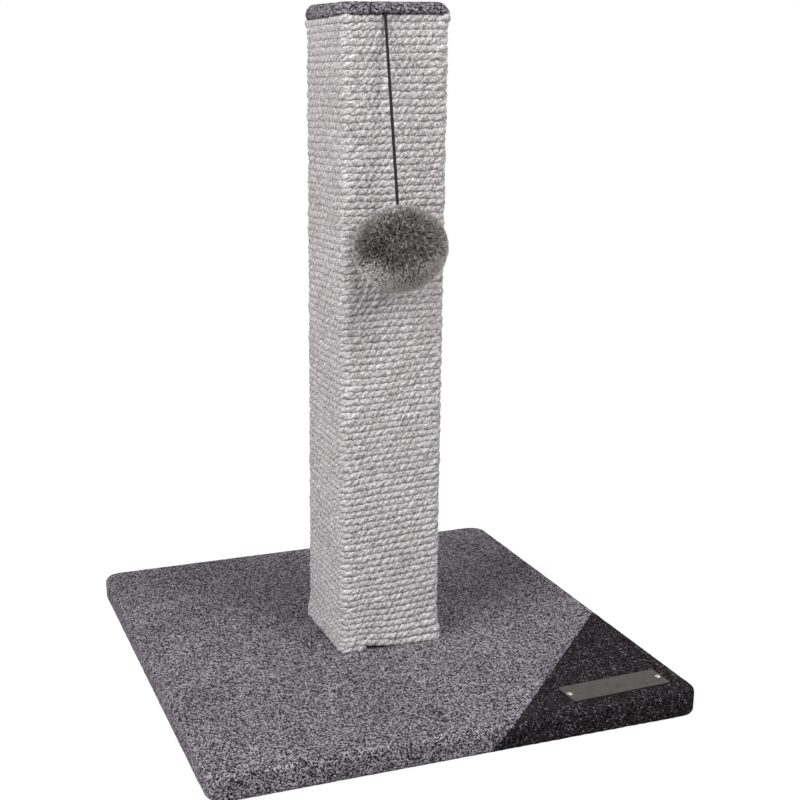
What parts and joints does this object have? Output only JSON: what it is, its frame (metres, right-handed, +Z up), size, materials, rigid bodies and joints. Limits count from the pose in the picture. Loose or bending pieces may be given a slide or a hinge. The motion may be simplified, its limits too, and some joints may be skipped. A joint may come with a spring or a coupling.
{
  "type": "cat scratching post",
  "caption": "Square post wound with rope, standing on a felt-covered base with a dark corner and a name plate, under a felt cap from which a plush ball hangs on an elastic cord.",
  "frame": {"origin": "on the floor under the middle of the base", "axes": "+Z up, -Y towards the front, where the ball hangs, +X to the right, where the dark corner is"},
  "size_m": [0.4, 0.4, 0.5425],
  "materials": {
    "board": "matte",
    "felt": "matte",
    "dark_felt": "matte",
    "plate": "satin",
    "rivet": "satin",
    "steel": "satin",
    "plug": "matte",
    "tube": "matte",
    "rope": "matte",
    "cord": "matte",
    "stuffing": "matte",
    "plush": "matte"
  },
  "bodies": {
    "stand": {"base_board": "board", "base_felt": "felt", "corner_felt": "dark_felt", "hem_staples": "steel", "name_plate": "plate", "plate_rivets": "rivet", "base_bolt": "steel", "bolt_washer": "steel", "tee_nut": "steel", "lower_plug": "plug", "post_tube": "tube", "upper_plug": "plug", "plug_nails": "steel", "rope_winding_bottom": "rope", "rope_winding_lower": "rope", "rope_winding_upper": "rope", "rope_winding_top": "rope", "cap_board": "board", "cap_felt": "felt", "cap_screws": "steel", "cord_tail": "cord"},
    "cord_swivel": {"cord_bend": "cord"},
    "cord": {"toy_cord": "cord"},
    "cord_end": {"cord_knot": "cord"},
    "ball": {"ball_core": "stuffing", "ball_fur": "plush"}
  },
  "joints": [
    {"name": "side_swing", "type": "hinge", "parent": "stand", "child": "cord_swivel", "pos_m": [-0.0105, -0.0449, 0.5348], "axis": [0, 1, 0], "range_deg": [-80, 80]},
    {"name": "out_swing", "type": "hinge", "parent": "cord_swivel", "child": "cord", "pos_m": [-0.0105, -0.0449, 0.5348], "axis": [-1, 0, 0], "range_deg": [0, 80]},
    {"name": "cord_stretch", "type": "slide", "parent": "cord", "child": "cord_end", "axis": [0, -0.1985, -0.9801], "range_m": [0, 0.08], "stiffness_N_per_m": 30, "springref_m": -0.018, "deforming": ["toy_cord"]},
    {"name": "ball_spin", "type": "hinge", "parent": "cord_end", "child": "ball", "pos_m": [-0.0105, -0.0795, 0.36397], "axis": [0, -0.1985, -0.9801], "range_deg": [-180, 180]}
  ]
}
